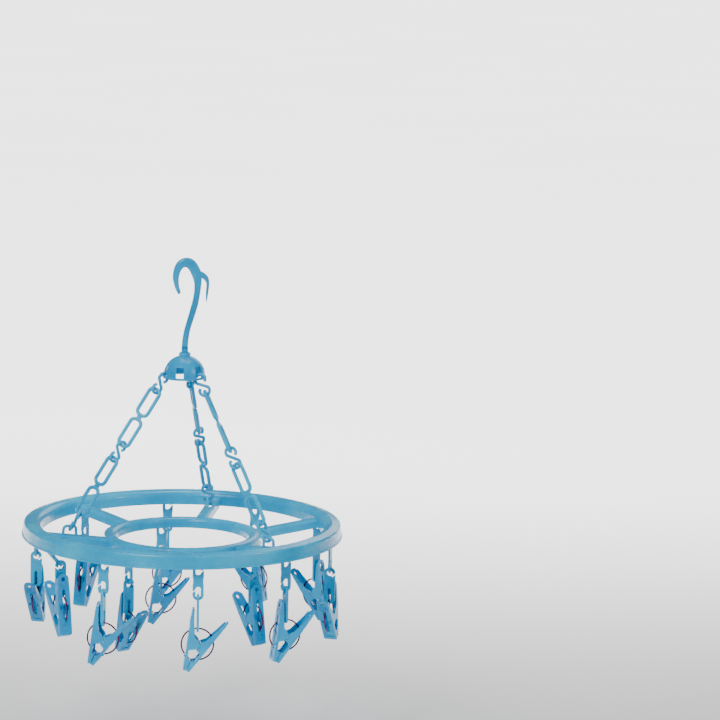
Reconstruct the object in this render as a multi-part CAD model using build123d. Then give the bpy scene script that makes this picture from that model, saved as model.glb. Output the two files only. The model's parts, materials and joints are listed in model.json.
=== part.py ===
from build123d import *
import os
import math

# Clip drying hanger: hook, dome, three chains, a two-ring frame and thirteen
# spring pegs. Everything is first laid out with the lower edge of the outer
# ring at z = 0, then moved so that the origin is the hook's seat, the inner
# top of the hook where it rests on a rail. +Z is up.

# ---------------------------------------------------------------- dimensions
SEAT_Z = 253.0          # hook seat above the outer ring's lower edge

RING_R_OUT = 150.0      # lip of the outer ring
RING_R_IN = 132.0
RING_H = 13.6
WALL = 1.6
INNER_R_OUT = 74.5
INNER_R_IN = 62.0
INNER_Z = -8.0          # the inner ring hangs lower than the outer one
INNER_H = 9.5
SPOKE_ANGLES = [16.5, 76.5, 136.5, 196.5, 256.5, 316.5]
SPOKE_W = 12.4
SPOKE_H = 8.0
CHAIN_ANGLES = {"back": 76.5, "left": 196.5, "right": 316.5}
ARCH_R = 109.0          # middle of the chain eyelet's arch, on its spoke
ARCH_HALF = 6.4
ARCH_TOP = 13.1         # height of the arch's top bar
ARCH_BAR = 1.35
PEG_BAR_R = 1.25        # cross-bar a peg hangs from

DOME_Z = 148.6          # lower edge of the dome's rim
DOME_R = 19.3
DOME_WALL = 1.5
RIM_BAR_R = 19.6
RIM_BAR_Z = 149.85
WINDOW_W = 7.5
WINDOW_H = 10.2
COLLAR_R = 5.8
COLLAR_TOP = 172.3
STEM_R = 3.2
SWIVEL_GAP = 0.25
HOOK_T = 6.4            # hook's thickness across its plane

S_BAR = 1.5             # S-hook wire radius
S_HALF_W = 4.7
S_LEN = 20.4            # bar centre to bar centre
D_BAR = 1.75            # double link wire radius
D_HALF_W = 5.6
D_NECK = 5.0
LINK_GAP = 0.22         # free play between two links

SLINK_W, SLINK_L, SLINK_T = 10.0, 35.0, 2.0
CLINK_W, CLINK_L, CLINK_T = 10.6, 34.5, 2.2
ARM_L = 57.0
ARM_W = 12.5
ARM_WEB = 1.7
ARM_SPREAD = 15.0       # each arm's angle from the peg's centreline
JAW_HALF = 3.0
PIVOT_T = 25.6          # pivot to jaw tips along the centreline
PEG_LEAN = 23.0         # centreline's lean from the vertical
SPRING_R = 14.5
SPRING_WIRE = 0.7

# name: ring radius, angle, height of bar, S-link yaw, clip yaw, S-link tilt
PEG_R_OUT, PEG_R_IN = 141.0, 68.2
OUT_Z, IN_Z = 1.3, INNER_Z + 1.3
PEGS = [
    ("peg_01", PEG_R_OUT, 276.0, OUT_Z, 273.0, 270.0, 0.0),
    ("peg_02", PEG_R_OUT, 240.0, OUT_Z, 249.0, 256.0, 0.0),
    ("peg_03", PEG_R_OUT, 312.0, OUT_Z, 300.0, 288.0, 0.0),
    ("peg_04", PEG_R_OUT, 204.0, OUT_Z, 27.0, 28.0, -42.0),
    ("peg_05", PEG_R_OUT, 168.0, OUT_Z, 168.0, 168.0, 0.0),
    ("peg_06", PEG_R_OUT, 132.0, OUT_Z, 322.0, 335.0, 0.0),
    ("peg_07", PEG_R_OUT, 96.0, OUT_Z, 278.0, 282.0, 0.0),
    ("peg_08", PEG_R_OUT, 60.0, OUT_Z, 60.0, 62.0, 0.0),
    ("peg_09", PEG_R_OUT, 24.0, OUT_Z, 40.0, 55.0, 0.0),
    ("peg_10", PEG_R_OUT, 348.0, OUT_Z, 166.0, 162.0, 0.0),
    ("peg_11", PEG_R_IN, 224.0, IN_Z, 219.0, 215.0, 0.0),
    ("peg_12", PEG_R_IN, 107.0, IN_Z, 284.0, 272.0, 0.0),
    ("peg_13", PEG_R_IN, 350.0, IN_Z, 12.0, 37.0, 0.0),
]

# turn of each link about its chain, S-hook, double link, S-hook, ... , as the
# compass direction that the link's flat side faces
CHAIN_TURNS = {
    "left": [-50.0, -118.0, -50.0, -130.0, -8.0],
    "right": [-100.0, -14.0, -70.0, -131.0, -48.0],
    "back": [-46.0, 16.0, -62.0, -140.0, -82.0],
}

os.makedirs("parts", exist_ok=True)
Z_DOWN = Location((0, 0, -SEAT_Z))


def er(a):
    return Vector(math.cos(math.radians(a)), math.sin(math.radians(a)), 0)


def et(a):
    return Vector(-math.sin(math.radians(a)), math.cos(math.radians(a)), 0)


def turned(shape, axis, angle):
    return shape.rotate(axis, angle)


def face_of(*edges):
    return make_face(Wire(edges))


def save(name, solids):
    solids = [s for s in solids]
    shape = solids[0] if len(solids) == 1 else Compound(children=solids)
    export_step(Z_DOWN * shape, "parts/%s.step" % name)


# --------------------------------------------------------------------- frame
def channel_section(r_in, r_out, z0, h, wall, lip):
    m = (r_in + r_out) / 2
    w = r_out - r_in
    k = 0.55 * h
    o = [(r_in, z0), (r_in + 0.5, z0 + k), (m - 0.28 * w, z0 + 0.92 * h), (m, z0 + h),
         (m + 0.28 * w, z0 + 0.91 * h), (r_out - 1.5 * lip, z0 + k), (r_out - lip, z0 + 1.5)]
    i = [(r_in + wall, z0), (r_in + 0.5 + wall, z0 + k - 0.4), (m - 0.22 * w, z0 + 0.92 * h - wall),
         (m, z0 + h - wall), (m + 0.22 * w, z0 + 0.91 * h - wall),
         (r_out - 1.5 * lip - wall, z0 + k - 0.4), (r_out - lip - wall + 0.1, z0)]

    def p(q):
        return Vector(q[0], 0, q[1])
    e = [
        Line(p(o[0]), p(o[1])),
        Spline([p(q) for q in o[1:6]], tangents=[Vector(0.1, 0, 1), Vector(0.1, 0, -1)]),
        Line(p(o[5]), p(o[6])),
        Line(p(o[6]), p((r_out, z0 + 1.2))),
        Line(p((r_out, z0 + 1.2)), p((r_out, z0))),
        Line(p((r_out, z0)), p(i[6])),
        Line(p(i[6]), p(i[5])),
        Spline([p(q) for q in reversed(i[1:6])], tangents=[Vector(-0.1, 0, 1), Vector(-0.1, 0, -1)]),
        Line(p(i[1]), p(i[0])),
        Line(p(i[0]), p(o[0])),
    ]
    return face_of(*e)


def ring(r_in, r_out, z0, h, wall, lip):
    return revolve(channel_section(r_in, r_out, z0, h, wall, lip), Axis.Z, 360)


outer_ring = ring(RING_R_IN, RING_R_OUT, 0.0, RING_H, WALL, 0.8)
inner_ring = ring(INNER_R_IN, INNER_R_OUT, INNER_Z, INNER_H, 1.5, 0.5)

SPOKE_R0, SPOKE_R1 = INNER_R_OUT - 1.2, RING_R_IN + 1.2
SLOPE = math.degrees(math.atan2(-INNER_Z, SPOKE_R1 - SPOKE_R0))


def spoke_plane(a, r):
    d = er(a) * math.cos(math.radians(SLOPE)) + Vector(0, 0, 1) * math.sin(math.radians(SLOPE))
    z = INNER_Z + (r - SPOKE_R0) * math.tan(math.radians(SLOPE))
    o = er(a) * r + Vector(0, 0, z)
    return Plane(origin=o, x_dir=et(a), z_dir=d)


def spoke_outline(grow, h):
    w = SPOKE_W / 2 - grow
    return [(-w, 0), (-w + 0.6, h - 1.9), (-w + 2.2, h), (w - 2.2, h), (w - 0.6, h - 1.9), (w, 0)]


def prism(pl, pts, length):
    poly = Polygon(*pts, align=None)
    return extrude(pl * poly, amount=length, dir=pl.z_dir)


frame = outer_ring + inner_ring
length = (SPOKE_R1 - SPOKE_R0) / math.cos(math.radians(SLOPE))
for a in SPOKE_ANGLES:
    frame += prism(spoke_plane(a, SPOKE_R0), spoke_outline(0.0, SPOKE_H), length)
for a in SPOKE_ANGLES:
    inner = spoke_outline(WALL, SPOKE_H - WALL)
    inner = [(inner[0][0], -4.0)] + inner + [(inner[-1][0], -4.0)]
    frame -= prism(spoke_plane(a, SPOKE_R0 - 2.2), inner, length + 4.4)

arch_web_z = INNER_Z + SPOKE_H + (ARCH_R - SPOKE_R0) * math.tan(math.radians(SLOPE))
for a in CHAIN_ANGLES.values():
    c = er(a) * ARCH_R
    win = Location((c.X, c.Y, arch_web_z - 4), (0, 0, a)) * extrude(
        SlotOverall(2 * ARCH_HALF - 3.4, 6.0), amount=9)
    frame -= win
    pts = [er(a) * (ARCH_R - ARCH_HALF) + Vector(0, 0, arch_web_z - 2.2),
           er(a) * (ARCH_R - ARCH_HALF + 0.4) + Vector(0, 0, ARCH_TOP),
           er(a) * (ARCH_R + ARCH_HALF - 1.2) + Vector(0, 0, ARCH_TOP),
           er(a) * (ARCH_R + ARCH_HALF) + Vector(0, 0, arch_web_z - 1.0)]
    path = FilletPolyline(*pts, radius=3.2)
    sec = Plane(origin=path @ 0, z_dir=path % 0) * Circle(ARCH_BAR)
    frame += sweep(sec, path=path)

for name, r, a, z, ys, yc, tilt in PEGS:
    r0, r1 = (RING_R_IN + 0.9, RING_R_OUT - 1.7) if r > 100 else (INNER_R_IN + 0.9, INNER_R_OUT - 1.2)
    o = er(a) * r0 + Vector(0, 0, z)
    frame += extrude(Plane(origin=o, x_dir=et(a), z_dir=er(a)) * Circle(PEG_BAR_R), amount=r1 - r0, dir=er(a))
save("frame", frame.solids())

# ---------------------------------------------------------------------- dome
zc = DOME_Z + 1.8
top_r = COLLAR_R - 0.4
top_o = zc + math.sqrt(DOME_R ** 2 - top_r ** 2)
hole_r = STEM_R + SWIVEL_GAP
r_i = DOME_R - DOME_WALL
top_i = zc + math.sqrt(r_i ** 2 - hole_r ** 2)
mid_o = (DOME_R * math.cos(math.radians(40)), zc + DOME_R * math.sin(math.radians(40)))
mid_i = (r_i * math.cos(math.radians(40)), zc + r_i * math.sin(math.radians(40)))


def q(x, z):
    return Vector(x, 0, z)


dome_face = face_of(
    Line(q(r_i, DOME_Z + 0.4), q(DOME_R - 0.6, DOME_Z)),
    Line(q(DOME_R - 0.6, DOME_Z), q(DOME_R + 0.9, DOME_Z)),
    Line(q(DOME_R + 0.9, DOME_Z), q(DOME_R + 1.3, DOME_Z + 0.6)),
    Line(q(DOME_R + 1.3, DOME_Z + 0.6), q(DOME_R + 1.1, DOME_Z + 1.8)),
    Line(q(DOME_R + 1.1, DOME_Z + 1.8), q(DOME_R, DOME_Z + 2.4)),
    Line(q(DOME_R, DOME_Z + 2.4), q(DOME_R, zc + 0.8)),
    ThreePointArc(q(DOME_R, zc + 0.8), q(mid_o[0], mid_o[1] + 0.3), q(top_r, top_o)),
    Line(q(top_r, top_o), q(COLLAR_R - 0.2, COLLAR_TOP - 1.2)),
    Line(q(COLLAR_R - 0.2, COLLAR_TOP - 1.2), q(COLLAR_R - 1.0, COLLAR_TOP)),
    Line(q(COLLAR_R - 1.0, COLLAR_TOP), q(hole_r + 0.4, COLLAR_TOP)),
    Line(q(hole_r + 0.4, COLLAR_TOP), q(hole_r, COLLAR_TOP - 0.4)),
    Line(q(hole_r, COLLAR_TOP - 0.4), q(hole_r, top_i)),
    ThreePointArc(q(hole_r, top_i), q(*mid_i), q(r_i, zc)),
    Line(q(r_i, zc), q(r_i, DOME_Z + 0.4)),
)
dome = revolve(dome_face, Axis.Z, 360)
for a in SPOKE_ANGLES:
    c = er(a) * DOME_R
    dome -= Location((c.X, c.Y, DOME_Z + 1.7 + WINDOW_H / 2), (0, 0, a)) * Box(9, WINDOW_W, WINDOW_H)
save("dome", dome.solids())

# ---------------------------------------------------------------------- hook
OUT_PTS = [(-3.1, 176.0), (-3.15, 180.9), (-2.5, 188.0), (0.25, 198.0), (3.55, 210.1), (6.85, 221.2),
           (8.1, 229.6), (8.2, 235.5)]
INNER_PTS = [(7.15, 240.6), (4.5, 246.9), (2.2, 251.1), (0.1, 252.8), (-2.0, 252.2), (-4.7, 248.2),
             (-6.2, 241.9), (-6.0, 234.7), (-4.0, 228.4)]
TIP = (-4.6, 226.6)
BACK_PTS = [(-6.1, 226.2), (-8.8, 230.1), (-12.3, 240.9), (-11.9, 248.1), (-9.8, 254.4), (-5.5, 259.7),
            (0.9, 261.8), (6.2, 260.6), (11.2, 255.2), (14.3, 248.5)]
RIGHT_PTS = [(15.2, 240.9), (14.8, 235.5), (14.0, 228.4), (12.2, 217.7), (9.2, 207.0), (5.8, 197.5),
             (3.55, 188.5), (3.15, 180.9), (3.1, 176.0)]
body_face = face_of(
    Spline([q(*p) for p in OUT_PTS + INNER_PTS]),
    ThreePointArc(q(*INNER_PTS[-1]), q(*TIP), q(*BACK_PTS[0])),
    Spline([q(*p) for p in BACK_PTS + RIGHT_PTS]),
    Line(q(*RIGHT_PTS[-1]), q(*OUT_PTS[0])),
)
hook = extrude(body_face, amount=HOOK_T / 2, both=True, dir=Vector(0, 1, 0))
SPUR = [(12.6, 249.6), (18.3, 246.6), (21.4, 243.0), (22.2, 237.4), (21.4, 230.2), (19.9, 219.4)]
SPUR_IN = [(19.2, 219.9), (18.6, 226.0), (18.8, 230.3), (19.2, 236.6), (17.9, 240.2), (13.5, 243.0)]
spur_face = face_of(
    Spline([q(*p) for p in SPUR]),
    Line(q(*SPUR[-1]), q(*SPUR_IN[0])),
    Spline([q(*p) for p in SPUR_IN]),
    Line(q(*SPUR_IN[-1]), q(*SPUR[0])),
)
hook += extrude(spur_face, amount=2.0, both=True, dir=Vector(0, 1, 0))
stem_face = face_of(
    Line(q(0, 164.4), q(3.6, 164.4)),
    Line(q(3.6, 164.4), q(5.4, 165.6)),
    Line(q(5.4, 165.6), q(5.4, 166.2)),
    Line(q(5.4, 166.2), q(STEM_R, 166.8)),
    Line(q(STEM_R, 166.8), q(STEM_R, 178.0)),
    Line(q(STEM_R, 178.0), q(0, 178.0)),
    Line(q(0, 178.0), q(0, 164.4)),
)
hook += revolve(stem_face, Axis.Z, 360)
save("hook", hook.solids())


# -------------------------------------------------------------------- chains
def s_hook():
    h = S_LEN / 2
    w = S_HALF_W
    pts = [(-3.1, 2.3), (-w, 4.0), (-w, h), (w, h), (w, 4.0), (-w, -4.0), (-w, -h), (w, -h), (w, -4.0), (3.1, -2.3)]
    path = FilletPolyline(*[q(*p) for p in pts], radius=[1.2, 4.4, 4.4, 2.4, 2.4, 4.4, 4.4, 1.2])
    return sweep(Plane(origin=path @ 0, z_dir=path % 0) * Circle(S_BAR), path=path)


def double_link(total):
    loop_l = (total - D_NECK) / 2
    w, r = D_HALF_W, 4.6
    out = None
    for sgn in (1, -1):
        zm = sgn * (D_NECK / 2 + loop_l / 2)
        h = loop_l / 2
        b = [q(-w, zm + h - r), q(-w + r, zm + h), q(w - r, zm + h), q(w, zm + h - r),
             q(w, zm - h + r), q(w - r, zm - h), q(-w + r, zm - h), q(-w, zm - h + r)]
        c = r * (1 - math.sqrt(0.5))
        path = Wire([
            Line(b[7], b[0]), ThreePointArc(b[0], q(-w + c, zm + h - c), b[1]),
            Line(b[1], b[2]), ThreePointArc(b[2], q(w - c, zm + h - c), b[3]),
            Line(b[3], b[4]), ThreePointArc(b[4], q(w - c, zm - h + c), b[5]),
            Line(b[5], b[6]), ThreePointArc(b[6], q(-w + c, zm - h + c), b[7])])
        sec = Plane(origin=b[7], z_dir=(0, 0, 1)) * Circle(D_BAR)
        loop = sweep(sec, path=path)
        out = loop if out is None else out + loop
    return out + Box(4.4, 2.5, D_NECK - 0.6)


chain_info = {}
for cname, a in CHAIN_ANGLES.items():
    p1 = er(a) * RIM_BAR_R + Vector(0, 0, RIM_BAR_Z)
    p2 = er(a) * (ARCH_R - 2.6) + Vector(0, 0, ARCH_TOP)
    dist = (p2 - p1).length
    t = (p2 - p1).normalized()
    faces = []
    for k in range(5):
        n = er(CHAIN_TURNS[cname][k])
        faces.append((n - t * n.dot(t)).normalized())
    # a bar that crosses a hook at a slant needs more room along the chain
    first = (1.45 + S_BAR + LINK_GAP) / abs(faces[0].dot(et(a)))
    last = (ARCH_BAR + S_BAR + LINK_GAP) / abs(faces[4].dot(er(a)))
    steps = first + 4 * (S_BAR + D_BAR + LINK_GAP) + last
    d_len = (dist + steps - 3 * S_LEN) / 2
    s = -first
    solids = []
    for k in range(5):
        ln = S_LEN if k % 2 == 0 else d_len
        mid = p1 + t * (s + ln / 2)
        pl = Plane(origin=mid, x_dir=faces[k].cross(t * -1), z_dir=t * -1)
        link = s_hook() if k % 2 == 0 else double_link(d_len)
        solids += (pl.location * link).solids()
        s += ln - (S_BAR + D_BAR + LINK_GAP)
    chain_info[cname] = (p1, p2, dist, d_len)
    save("chain_" + cname, solids)
    print("chain", cname, "span %.2f" % dist, "double link %.2f" % d_len)


# ---------------------------------------------------------------------- pegs
def s_link():
    z0 = PEG_BAR_R + 0.25 + 2.4
    zm = z0 - SLINK_L / 2
    f = RectangleRounded(SLINK_W, SLINK_L, 4.6)
    loop = SLINK_L / 2 - 2.4 - 4.9
    for sg in (1, -1):
        f -= Pos(0, sg * loop) * RectangleRounded(5.0, 9.8, 2.3)
        f -= Pos(sg * 3.6, sg * (loop - 1.0)) * Rot(0, 0, 40 * 1) * Rectangle(6.0, 1.3)
    for sg in (1, -1):
        f -= Pos(sg * 6.1, 0) * RectangleRounded(3.0, 7.0, 1.2)
    body = extrude(f, amount=SLINK_T / 2, both=True)
    return Pos(0, 0, zm) * Rot(90, 0, 0) * body


def c_link():
    f = Pos(0, -CLINK_L / 2) * RectangleRounded(CLINK_W, CLINK_L, 5.0)
    f -= Pos(0, -2.6 - 2.8) * Circle(2.8)
    f -= Pos(3.9, -2.6 - 4.4) * Rot(0, 0, 38) * Rectangle(5.6, 1.3)
    f -= Pos(0, -(CLINK_L - 2.3) + 6.2) * RectangleRounded(2.7, 12.4, 1.2)
    body = extrude(f, amount=CLINK_T / 2, both=True)
    return Pos(0, 0, 2.6) * Rot(0, 0, 90) * Rot(90, 0, 0) * body


tan_s = math.tan(math.radians(ARM_SPREAD))
sin_s = math.sin(math.radians(ARM_SPREAD))
cos_s = math.cos(math.radians(ARM_SPREAD))


def c_o(t):
    return JAW_HALF + (t + PIVOT_T) * tan_s


def arm(side):
    # side +1: arm b, with the socket; side -1: arm a, with the pivot pin
    t_end = -PIVOT_T + ARM_L * cos_s
    c_end = JAW_HALF + ARM_L * sin_s
    g = 0.3 if side > 0 else 0.12
    rel = 0.42 if side > 0 else 0.05
    pts = [(JAW_HALF, -PIVOT_T), (0.15, -PIVOT_T + 0.3), (0.15, -16.4), (c_o(-14.6) - 2.5, -14.6),
           (c_o(-7.6) - 2.5, -7.6), (c_o(-6.4) - 3.4, -6.4), (g + 0.5, -4.4), (g, -3.9), (g, 0.0),
           (g + rel * 3.6, 3.6), (c_o(6.4) - 6.2, 6.4), (c_o(20.0) - 3.4, 20.0),
           (c_end - 2.2 * cos_s, t_end + 2.2 * sin_s), (c_end, t_end)]
    body = extrude(Plane.XZ * Polygon(*pts, align=None), amount=ARM_W / 2, both=True)
    if side < 0:
        body += Rot(90, 0, 0) * Cylinder(2.6, ARM_W)
    else:
        body -= Rot(90, 0, 0) * Cylinder(2.85, ARM_W + 1)
    hollow = [(-3.2, -15.6), (c_o(-15.6) - ARM_WEB, -15.6), (c_o(33.0) - ARM_WEB, 33.0),
              (c_o(33.0) - 9.0, 36.0), (-3.2, 12.0)]
    cut = extrude(Plane.XZ * Polygon(*hollow, align=None), amount=ARM_W / 2 - 1.6, both=True)
    if side < 0:
        cut -= Rot(90, 0, 0) * Cylinder(2.6, ARM_W)
    body -= cut
    fp = Plane(origin=(JAW_HALF, 0, -PIVOT_T), x_dir=(0, 1, 0), z_dir=(cos_s, 0, -sin_s))
    out = Polygon((-5.7, -3), (5.7, -3), (6.25, 2.5), (6.25, 36), (5.6, ARM_L - 5.6), (-5.6, ARM_L - 5.6),
                  (-6.25, 36), (-6.25, 2.5), align=None) + Pos(0, ARM_L - 5.6) * Circle(5.6)
    body = body & extrude(fp * out, amount=14, both=True)
    body -= extrude(fp * (Pos(0, 28.5) * SlotOverall(27.0, 2.8, rotation=90)), amount=2.4, both=True)
    body -= extrude(fp * (Pos(0, ARM_L - 5.4) * Circle(2.0)), amount=3.0, both=True)
    for sg in (1, -1):
        body -= extrude(fp * (Pos(sg * 3.4, 25.6) * Rectangle(1.7, 4.6)), amount=2.4, both=True)
    body -= extrude(fp * (Pos(0, 6.6) * RectangleRounded(7.2, 5.8, 1.0)), amount=0.7, both=True)
    body += extrude(fp * (Pos(0, 11.6) * Rectangle(2.6, 1.5)), amount=1.0, both=True)
    for k in range(4):
        body -= Location((0.15, 0, -PIVOT_T + 1.9 + 2.0 * k)) * Rot(0, 45, 0) * Box(0.75, ARM_W + 1, 0.75)
    # raised lip round the handle's finger pad
    for k in range(4):
        body += extrude(fp * (Pos(0, 42.6 + 1.7 * k) * Rectangle(8.0, 0.6)), amount=0.35, both=False)
    if side < 0:
        body = body.mirror(Plane.YZ)
    return body


WIRE_Z = 2.6 - CLINK_L + 2.3 + 0.2 + SPRING_WIRE
PIVOT_Z = WIRE_Z - SPRING_R
to_clip = Location((0, 0, PIVOT_Z)) * Rot(0, PEG_LEAN, 0)
t_arm_b = to_clip * arm(1)
t_arm_a = to_clip * arm(-1)
END = 60.5
t_spring = to_clip * (Rot(90, 0, 0) * (Rot(0, 0, -END) * Torus(SPRING_R, SPRING_WIRE, major_angle=180 + 2 * END)))
t_slink = s_link()
t_clink = c_link()

for name, r, a, z, yaw_s, yaw_c, tilt in PEGS:
    bar = er(a) * r + Vector(0, 0, z)
    tr = math.radians(abs(tilt))
    lift = (1.45 + 1.0 * math.sin(tr)) / math.cos(tr) - 1.45
    loc_s = Location((bar.X, bar.Y, bar.Z), (0, 0, yaw_s + 90)) * Rot(tilt, 0, 0) * Pos(0, 0, lift)
    low = loc_s * Pos(0, 0, PEG_BAR_R + 0.25 + 2.4 - SLINK_L + 1.2)
    lp = low.position
    hb = (2.4 * math.cos(tr) + SLINK_T * math.sin(tr)) / 2
    loc_c = Location((lp.X, lp.Y, lp.Z + hb + 0.25), (0, 0, yaw_c + 90))
    save(name + "_links", (loc_s * t_slink).solids() + (loc_c * t_clink).solids())
    save(name + "_arm_a", (loc_c * t_arm_a).solids())
    save(name + "_arm_b", (loc_c * t_arm_b).solids())
    save(name + "_spring", (loc_c * t_spring).solids())
    w = er(yaw_c)
    cp = loc_c.position
    print(name, "bar %.3f %.3f %.3f" % (bar.X, bar.Y, bar.Z - SEAT_Z), "axis %.5f %.5f" % (w.X, w.Y),
          "wire %.3f %.3f %.3f" % (cp.X, cp.Y, cp.Z + WIRE_Z - SEAT_Z),
          "pivot z %.3f" % (cp.Z + PIVOT_Z - SEAT_Z))
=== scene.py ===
import json
import math
import bpy
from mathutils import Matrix, Quaternion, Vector
from mathutils.bvhtree import BVHTree


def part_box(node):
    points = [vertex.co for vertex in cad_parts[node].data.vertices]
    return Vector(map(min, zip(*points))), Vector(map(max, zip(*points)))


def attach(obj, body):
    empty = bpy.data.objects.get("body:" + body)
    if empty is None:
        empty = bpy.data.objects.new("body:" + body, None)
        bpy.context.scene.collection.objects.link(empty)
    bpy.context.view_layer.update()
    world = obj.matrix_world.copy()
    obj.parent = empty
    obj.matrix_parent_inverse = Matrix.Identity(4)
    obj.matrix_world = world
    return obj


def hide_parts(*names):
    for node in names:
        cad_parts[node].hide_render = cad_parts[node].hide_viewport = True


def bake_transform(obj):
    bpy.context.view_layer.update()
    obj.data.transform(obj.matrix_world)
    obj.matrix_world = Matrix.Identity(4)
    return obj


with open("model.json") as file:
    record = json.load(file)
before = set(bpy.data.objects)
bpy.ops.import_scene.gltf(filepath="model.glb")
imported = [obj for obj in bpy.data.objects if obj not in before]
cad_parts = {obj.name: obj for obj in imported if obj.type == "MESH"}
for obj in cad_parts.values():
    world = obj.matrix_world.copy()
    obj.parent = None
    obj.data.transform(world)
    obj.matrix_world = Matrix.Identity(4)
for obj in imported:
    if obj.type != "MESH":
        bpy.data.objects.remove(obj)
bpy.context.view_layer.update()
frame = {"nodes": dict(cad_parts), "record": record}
NODES = frame["nodes"]
SLOT = {s["node"]: s["material_slot"] for s in frame["record"]["subparts"]}
MM = 0.001
SEAT_Z = 253.0


# ------------------------------------------------------------------ materials
class Graph:
    def __init__(self, name):
        self.mat = bpy.data.materials.new(name)
        self.mat.use_nodes = True
        self.t = self.mat.node_tree
        self.bsdf = next(n for n in self.t.nodes if n.type == "BSDF_PRINCIPLED")
        self.coord = self.new("ShaderNodeTexCoord").outputs["Object"]

    def new(self, kind, **props):
        n = self.t.nodes.new(kind)
        for k, v in props.items():
            setattr(n, k, v)
        return n

    def link(self, a, b):
        self.t.links.new(a, b)

    def set(self, **values):
        for k, v in values.items():
            self.bsdf.inputs[k.replace("_", " ")].default_value = v

    def mapped(self, scale=(1, 1, 1), turn=(0, 0, 0)):
        m = self.new("ShaderNodeMapping")
        m.inputs["Scale"].default_value = scale
        m.inputs["Rotation"].default_value = turn
        self.link(self.coord, m.inputs["Vector"])
        return m.outputs["Vector"]

    def noise(self, scale, detail=3.0, rough=0.5, distort=0.0, vector=None):
        n = self.new("ShaderNodeTexNoise")
        n.inputs["Scale"].default_value = scale
        n.inputs["Detail"].default_value = detail
        n.inputs["Roughness"].default_value = rough
        n.inputs["Distortion"].default_value = distort
        self.link(vector or self.coord, n.inputs["Vector"])
        return n.outputs["Fac"]

    def ranged(self, value, a, b, c, d):
        n = self.new("ShaderNodeMapRange")
        for k, v in zip(("From Min", "From Max", "To Min", "To Max"), (a, b, c, d)):
            n.inputs[k].default_value = v
        self.link(value, n.inputs["Value"])
        return n.outputs["Result"]

    def ramp(self, value, stops):
        n = self.new("ShaderNodeValToRGB")
        r = n.color_ramp
        while len(r.elements) < len(stops):
            r.elements.new(0.5)
        for e, (p, c) in zip(r.elements, stops):
            e.position = p
            e.color = (c[0], c[1], c[2], 1.0)
        self.link(value, n.inputs["Fac"])
        return n.outputs["Color"]

    def mix(self, fac, a, b, mode="MIX"):
        n = self.new("ShaderNodeMix", data_type="RGBA", blend_type=mode)
        if isinstance(fac, (int, float)):
            n.inputs[0].default_value = fac
        else:
            self.link(fac, n.inputs[0])
        for sock, v in ((n.inputs[6], a), (n.inputs[7], b)):
            if isinstance(v, tuple):
                sock.default_value = (v[0], v[1], v[2], 1.0)
            else:
                self.link(v, sock)
        return n.outputs[2]

    def bump(self, height, strength, distance, under=None):
        n = self.new("ShaderNodeBump")
        n.inputs["Strength"].default_value = strength
        n.inputs["Distance"].default_value = distance
        self.link(height, n.inputs["Height"])
        if under is not None:
            self.link(under, n.inputs["Normal"])
        return n.outputs["Normal"]


def moulded(name, deep, base, milky, rough=0.26, sss=0.0, sss_mm=3.0, flow=(1, 1, 1), coat=0.25, swirl=0.35):
    """Injection-moulded polypropylene: slow tone drift, faint flow streaks, fine skin."""
    g = Graph(name)
    drift = g.noise(24.0, 2.0, 0.45)
    tone = g.ramp(drift, [(0.30, deep), (0.52, base), (0.74, milky)])
    streak = g.noise(46.0, 4.0, 0.6, 0.8, g.mapped(flow))
    tone = g.mix(g.ranged(streak, 0.45, 0.75, 0.0, swirl), tone, milky)
    cloud = g.noise(230.0, 3.0, 0.55)
    tone = g.mix(g.ranged(cloud, 0.4, 0.8, 0.0, 0.22), tone, deep)
    speck = g.new("ShaderNodeTexVoronoi")
    speck.inputs["Scale"].default_value = 620.0
    g.link(g.coord, speck.inputs["Vector"])
    dots = g.ranged(speck.outputs["Distance"], 0.05, 0.11, 0.35, 0.0)
    tone = g.mix(dots, tone, (min(1, milky[0] * 1.25 + .02), min(1, milky[1] * 1.2), min(1, milky[2] * 1.1)))
    g.link(tone, g.bsdf.inputs["Base Color"])
    skin = g.noise(900.0, 2.0, 0.5)
    wear = g.noise(70.0, 4.0, 0.6)
    r = g.new("ShaderNodeMath", operation="ADD")
    g.link(g.ranged(skin, 0.3, 0.7, rough - 0.05, rough + 0.06), r.inputs[0])
    g.link(g.ranged(wear, 0.4, 0.75, -0.03, 0.09), r.inputs[1])
    g.link(r.outputs[0], g.bsdf.inputs["Roughness"])
    n1 = g.bump(g.noise(95.0, 2.0, 0.5, 0.4), 0.22, 0.0005)
    n2 = g.bump(skin, 0.14, 0.00012, n1)
    g.link(n2, g.bsdf.inputs["Normal"])
    g.set(IOR=1.49, Coat_Weight=coat, Coat_Roughness=0.12, Specular_IOR_Level=0.33)
    if sss:
        g.set(Subsurface_Weight=sss, Subsurface_Scale=sss_mm * MM)
        g.bsdf.inputs["Subsurface Radius"].default_value = (0.35, 0.8, 1.0)
    return g.mat


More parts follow.
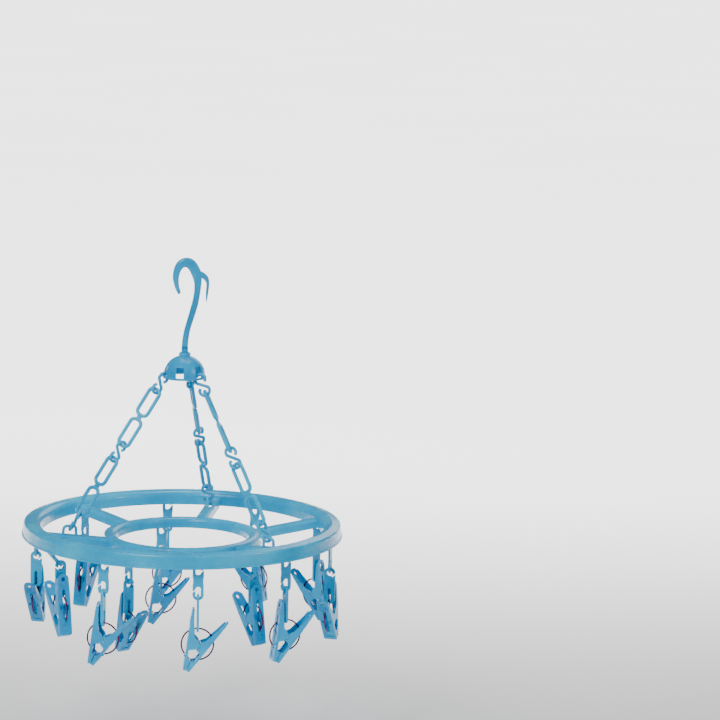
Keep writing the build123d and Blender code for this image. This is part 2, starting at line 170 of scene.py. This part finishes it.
MATS = {
    "frame": moulded("frame_plastic", (0.0005, 0.33, 0.64), (0.004, 0.43, 0.76), (0.045, 0.56, 0.84),
                     rough=0.21, sss=0.12, sss_mm=2.4, flow=(1, 1, 3), coat=0.15, swirl=0.16),
    "dome": moulded("dome_plastic", (0.0, 0.29, 0.62), (0.0, 0.385, 0.74), (0.015, 0.52, 0.83),
                    rough=0.20, sss=0.08, sss_mm=2.0, flow=(1, 1, 0.4), coat=0.2, swirl=0.25),
    "hook": moulded("hook_plastic", (0.0, 0.235, 0.52), (0.0, 0.325, 0.66), (0.0, 0.44, 0.77),
                    rough=0.17, sss=0.0, sss_mm=1.6, flow=(2, 2, 0.25), coat=0.35, swirl=0.2),
    "chain": moulded("chain_plastic", (0.0, 0.31, 0.64), (0.0, 0.42, 0.78), (0.001, 0.54, 0.86),
                     rough=0.19, sss=0.0, sss_mm=1.4, flow=(2, 2, 0.5), coat=0.3, swirl=0.2),
    "peg_link": moulded("link_plastic", (0.0, 0.32, 0.65), (0.0, 0.435, 0.79), (0.002, 0.55, 0.86),
                        rough=0.26, sss=0.0, sss_mm=1.6, flow=(2, 2, 0.4), coat=0.08, swirl=0.2),
    "peg": moulded("peg_plastic", (0.0, 0.27, 0.62), (0.0, 0.38, 0.77), (0.0, 0.50, 0.86),
                   rough=0.18, sss=0.0, sss_mm=1.6, flow=(1.5, 1.5, 0.35), coat=0.3, swirl=0.2),
}


def wire_material():
    g = Graph("spring_wire")
    along = g.noise(150.0, 3.0, 0.6, 1.2)
    tint = g.ramp(along, [(0.28, (0.012, 0.004, 0.035)), (0.44, (0.075, 0.006, 0.11)), (0.58, (0.17, 0.012, 0.12)),
                          (0.74, (0.05, 0.03, 0.16))])
    grime = g.noise(900.0, 4.0, 0.65)
    tint = g.mix(g.ranged(grime, 0.52, 0.75, 0.0, 0.6), tint, (0.03, 0.02, 0.03))
    g.link(tint, g.bsdf.inputs["Base Color"])
    g.link(g.ranged(grime, 0.3, 0.7, 0.16, 0.34), g.bsdf.inputs["Roughness"])
    g.set(Metallic=1.0)
    g.link(g.bump(g.noise(2200.0, 2.0, 0.5), 0.2, 0.00004), g.bsdf.inputs["Normal"])
    return g.mat


MATS["spring_wire"] = wire_material()


def floor_material():
    g = Graph("pale_floor")
    tone = g.ramp(g.noise(1.4, 3.0, 0.5), [(0.3, (0.90, 0.905, 0.91)), (0.7, (0.94, 0.94, 0.945))])
    g.link(tone, g.bsdf.inputs["Base Color"])
    g.set(Roughness=0.65)
    return g.mat


# ---------------------------------------------------------------- CAD parts
BEVEL = {"frame": 0.42, "dome": 0.32, "peg_link": 0.36, "peg": 0.34, "chain": 0.25}


def soften(o, width_mm, angle=32.0):
    """Rounds the moulded edges of a CAD part and smooths it, without touching its mesh."""
    me = o.data
    if "custom_normal" in me.attributes:
        me.attributes.remove(me.attributes["custom_normal"])
    me.polygons.foreach_set("use_smooth", [True] * len(me.polygons))
    w = o.modifiers.new("weld", "WELD")
    w.merge_threshold = 0.000004
    d = o.modifiers.new("flat", "DECIMATE")
    d.decimate_type = "DISSOLVE"
    d.angle_limit = math.radians(0.6)
    b = o.modifiers.new("edges", "BEVEL")
    b.limit_method = "ANGLE"
    b.angle_limit = math.radians(angle)
    b.width = width_mm * MM
    b.segments = 2
    b.use_clamp_overlap = True
    b.miter_outer = "MITER_ARC"
    n = o.modifiers.new("normals", "WEIGHTED_NORMAL")
    n.keep_sharp = False
    n.weight = 60


for name, o in NODES.items():
    s = SLOT[name]
    o.data.materials.clear()
    o.data.materials.append(MATS[s])
    if s in BEVEL:
        soften(o, BEVEL[s])


def mesh_piece(name, verts, faces, slot_name, smooth=True):
    me = bpy.data.meshes.new(name)
    me.from_pydata(verts, [], faces)
    me.validate()
    me.polygons.foreach_set("use_smooth", [smooth] * len(me.polygons))
    me.materials.append(MATS[slot_name])
    o = bpy.data.objects.new(name, me)
    bpy.context.scene.collection.objects.link(o)
    return o


# ----------------------------------------------------------------------- hook
SIDE_A = [[(-3.1, 176.0), (-3.15, 180.9), (-2.5, 188.0), (0.25, 198.0), (3.55, 210.1), (6.85, 221.2),
           (8.1, 229.6), (8.2, 235.5)],
          [(8.2, 235.5), (7.15, 240.6), (4.5, 246.9), (2.2, 251.1), (0.1, 252.8)],
          [(0.1, 252.8), (-2.0, 252.2), (-4.7, 248.2), (-6.2, 241.9)],
          [(-6.2, 241.9), (-6.0, 234.7), (-4.0, 228.4)]]
SIDE_B = [[(3.1, 176.0), (3.15, 180.9), (3.55, 188.5), (5.8, 197.5), (9.2, 207.0), (12.2, 217.7),
           (14.0, 228.4), (14.8, 235.5)],
          [(14.8, 235.5), (15.2, 240.9), (14.3, 248.5), (11.2, 255.2), (6.2, 260.6), (0.9, 261.8)],
          [(0.9, 261.8), (-5.5, 259.7), (-9.8, 254.4), (-11.9, 248.1), (-12.3, 240.9)],
          [(-12.3, 240.9), (-8.8, 230.1), (-6.1, 226.2)]]
SPUR_A = [[(12.6, 249.6), (18.3, 246.6), (21.4, 243.0), (22.2, 237.4), (21.4, 230.2), (19.9, 219.4)]]
SPUR_B = [[(13.5, 243.0), (17.9, 240.2), (19.2, 236.6), (18.8, 230.3), (18.6, 226.0), (19.2, 219.9)]]


def through(points, count):
    """count + 1 points along a Catmull-Rom line, evenly spaced."""
    p = [Vector((a, b, 0)) for a, b in points]
    p = [p[0] * 2 - p[1]] + p + [p[-1] * 2 - p[-2]]
    fine = []
    for i in range(1, len(p) - 2):
        for k in range(16):
            t = k / 16
            a, b, c, d = p[i - 1:i + 3]
            fine.append(0.5 * ((2 * b) + (c - a) * t + (2 * a - 5 * b + 4 * c - d) * t * t
                               + (3 * b - a - 3 * c + d) * t ** 3))
    fine.append(p[-2])
    run = [0.0]
    for a, b in zip(fine, fine[1:]):
        run.append(run[-1] + (b - a).length)
    out, j = [], 0
    for k in range(count + 1):
        want = run[-1] * k / count
        while j < len(run) - 2 and run[j + 1] < want:
            j += 1
        f = (want - run[j]) / max(1e-9, run[j + 1] - run[j])
        out.append(fine[j].lerp(fine[j + 1], min(1.0, max(0.0, f))))
    return out


def smoothed(row, times):
    for _ in range(times):
        row = [row[0]] + [(row[i - 1] + row[i] * 2 + row[i + 1]) / 4 for i in range(1, len(row) - 1)] + [row[-1]]
    return row


def strip(side_a, side_b, per, half_start, half_end, power, around=28, taper=0.12):
    """A rounded bar between two outlines in the XZ plane."""
    a, b = [], []
    for sa, sb in zip(side_a, side_b):
        pa, pb = through(sa, per), through(sb, per)
        a += pa if not a else pa[1:]
        b += pb if not b else pb[1:]
    a, b = smoothed(a, 6), smoothed(b, 6)
    n = len(a)
    verts, faces = [], []
    for i in range(n):
        f = i / (n - 1)
        c, h = (a[i] + b[i]) / 2, (b[i] - a[i]) / 2
        half = half_start + (half_end - half_start) * max(0.0, (f - 0.35) / 0.65)
        end = 1.0 if f < 1 - taper / 6 else math.sqrt(max(0.03, 1 - ((f - 1 + taper / 6) / (taper / 6)) ** 2))
        for k in range(around):
            u = 2 * math.pi * k / around
            cu, su = math.cos(u), math.sin(u)
            x = math.copysign(abs(cu) ** (2 / power), cu) * end
            y = math.copysign(abs(su) ** (2 / power), su) * half * end
            q = c + h * x
            verts.append(((q.x) * MM, y * MM, (q.y - SEAT_Z) * MM))
    for i in range(n - 1):
        for k in range(around):
            m = (k + 1) % around
            faces.append((i * around + k, i * around + m, (i + 1) * around + m, (i + 1) * around + k))
    faces.append(tuple(range(around - 1, -1, -1)))
    faces.append(tuple((n - 1) * around + k for k in range(around)))
    return verts, faces


def lathe(profile, around=40):
    verts, faces = [], []
    for r, z in profile:
        for k in range(around):
            u = 2 * math.pi * k / around
            verts.append((r * math.cos(u) * MM, r * math.sin(u) * MM, (z - SEAT_Z) * MM))
    for i in range(len(profile) - 1):
        for k in range(around):
            m = (k + 1) % around
            faces.append((i * around + k, i * around + m, (i + 1) * around + m, (i + 1) * around + k))
    faces.append(tuple(range(around - 1, -1, -1)))
    faces.append(tuple((len(profile) - 1) * around + k for k in range(around)))
    return verts, faces


def joined(*parts):
    verts, faces = [], []
    for v, f in parts:
        base = len(verts)
        verts += v
        faces += [tuple(i + base for i in face) for face in f]
    return verts, faces


bar = strip(SIDE_A, SIDE_B, 16, 3.15, 2.9, 2.7)
spur = strip(SPUR_A, SPUR_B, 26, 2.0, 1.5, 2.4, around=20, taper=0.3)
foot = lathe([(2.6, 164.42), (3.5, 164.5), (5.1, 165.5), (5.35, 165.8), (5.35, 166.1), (5.0, 166.3), (3.5, 166.7),
              (3.18, 167.2), (3.18, 177.2), (3.0, 177.8)])
hook = mesh_piece("hook_rounded", *joined(bar, spur, foot), "hook")
n = hook.modifiers.new("normals", "WEIGHTED_NORMAL")
n.keep_sharp = False
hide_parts("hook")
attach(hook, "hook")

# -------------------------------------------------------------------- springs
for name in sorted(NODES):
    if not name.endswith("_spring"):
        continue
    peg = name[:-7]
    src = NODES[name]
    o = bpy.data.objects.new(peg + "_wire", src.data.copy())
    bpy.context.scene.collection.objects.link(o)
    if "custom_normal" in o.data.attributes:
        o.data.attributes.remove(o.data.attributes["custom_normal"])
    o.data.polygons.foreach_set("use_smooth", [True] * len(o.data.polygons))
    lo_a, hi_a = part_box(peg + "_arm_a")
    lo_b, hi_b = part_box(peg + "_arm_b")
    d = (lo_b + hi_b) / 2 - (lo_a + hi_a) / 2
    d.z = 0
    d.normalize()
    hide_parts(name)
    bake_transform(o)

# ----------------------------------------------------- gate marks on the rings
MATS["gate"] = moulded("gate_marks", (0.0, 0.02, 0.07), (0.002, 0.045, 0.12), (0.01, 0.10, 0.22),
                       rough=0.45, flow=(1, 1, 1), coat=0.0, swirl=0.2)
ring_mesh = NODES["frame"].data
tree = BVHTree.FromPolygons([v.co for v in ring_mesh.vertices], [tuple(p.vertices) for p in ring_mesh.polygons])
marks = []
for r, theta in [(147.0, 276.5), (146.6, 322.0), (147.2, 248.0), (146.8, 202.0), (147.0, 146.0), (146.9, 86.0),
                 (147.1, 30.0), (63.6, 222.0), (63.8, 292.0), (63.7, 150.0), (63.6, 40.0)]:
    a = math.radians(theta)
    at, normal, _, _ = tree.ray_cast(Vector((r * math.cos(a) * MM, r * math.sin(a) * MM, -0.2)), Vector((0, 0, -1)))
    if at is None:
        continue
    side = normal.orthogonal().normalized()
    other = normal.cross(side)
    wide = (0.62 + 0.18 * math.sin(theta)) * MM
    verts, faces = [], []
    for row, (f, h) in enumerate([(1.0, -0.05), (0.9, 0.10), (0.55, 0.20), (0.12, 0.24)]):
        for k in range(14):
            u = 2 * math.pi * k / 14
            wob = 1 + 0.10 * math.sin(3 * u + theta)
            verts.append(tuple(at + (side * math.cos(u) + other * math.sin(u)) * wide * f * wob + normal * h * MM))
    for row in range(3):
        for k in range(14):
            m = (k + 1) % 14
            faces.append((row * 14 + k, row * 14 + m, (row + 1) * 14 + m, (row + 1) * 14 + k))
    faces.append(tuple(range(13, -1, -1)))
    faces.append(tuple(42 + k for k in range(14)))
    marks.append((verts, faces))
nubs = mesh_piece("gate_marks", *joined(*marks), "gate")
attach(nubs, "frame")

# ---------------------------------------------------------------- stage, light
FLOOR_Z = -0.47
bpy.ops.mesh.primitive_plane_add(size=120, location=(0, 20.0, FLOOR_Z))
floor = bpy.context.object
floor.name = "floor"
floor.data.materials.append(floor_material())

world = bpy.data.worlds.new("soft_white")
bpy.context.scene.world = world
world.use_nodes = True
bg = next(n for n in world.node_tree.nodes if n.type == "BACKGROUND")
bg.inputs["Color"].default_value = (1.0, 1.0, 1.0, 1.0)
bg.inputs["Strength"].default_value = 0.17


def area(name, at, aim, size, power, tint=(1, 1, 1), spread=180.0):
    light = bpy.data.lights.new(name, "AREA")
    light.shape = "RECTANGLE"
    light.size, light.size_y = size
    light.energy = power
    light.color = tint
    light.spread = math.radians(spread)
    o = bpy.data.objects.new(name, light)
    bpy.context.scene.collection.objects.link(o)
    o.location = at
    o.rotation_euler = (Vector(aim) - Vector(at)).to_track_quat("-Z", "Y").to_euler()


area("key", (-0.9, -1.2, 1.1), (0, 0, -0.22), (0.8, 0.8), 20, (1.0, 0.99, 0.97))
area("fill", (1.3, -1.2, 0.2), (0, 0, -0.25), (1.0, 1.2), 3.5, (0.96, 0.98, 1.0))
area("top", (0.1, 0.3, 1.3), (0, 0, -0.25), (1.0, 1.0), 8)
area("rim", (0.6, 1.4, 0.4), (0, 0, -0.2), (0.8, 0.8), 4)
area("strip", (-0.5, -1.3, 0.75), (0, 0, -0.2), (0.10, 0.9), 6.0)
area("strip_right", (1.1, -0.7, 0.55), (0, 0, -0.2), (0.08, 0.7), 3.5)
area("floor_wash", (0.0, 10.3, 3.6), (0.0, 10.3, 0.0), (16.0, 19.0), 3600, (1, 1, 1), 30.0)

# --------------------------------------------------------------------- camera
TARGET = Vector((0.0, 0.0, -0.253))
ELEV = math.radians(12.5)
DIST = 3.0
FOCAL_PX = 3186.0
AT_PX = (182.4, 533.5)
ROLL = math.radians(0.65)
cam_data = bpy.data.cameras.new("camera")
cam_data.sensor_width = 36.0
cam_data.lens = FOCAL_PX * 36.0 / 720.0
cam_data.clip_start, cam_data.clip_end = 0.05, 60.0
cam = bpy.data.objects.new("camera", cam_data)
bpy.context.scene.collection.objects.link(cam)
look = Vector((0, math.cos(ELEV), -math.sin(ELEV)))
base = look.to_track_quat("-Z", "Y")
seen = Vector((AT_PX[0] - 360.0, 360.0 - AT_PX[1], -FOCAL_PX)).normalized()
swing = seen.rotation_difference(Vector((0, 0, -1)))
turn = Quaternion(look, -ROLL)
cam.rotation_mode = "QUATERNION"
cam.rotation_quaternion = turn @ base @ swing
cam.location = TARGET - look * DIST
bpy.context.scene.camera = cam
bpy.context.view_layer.update()
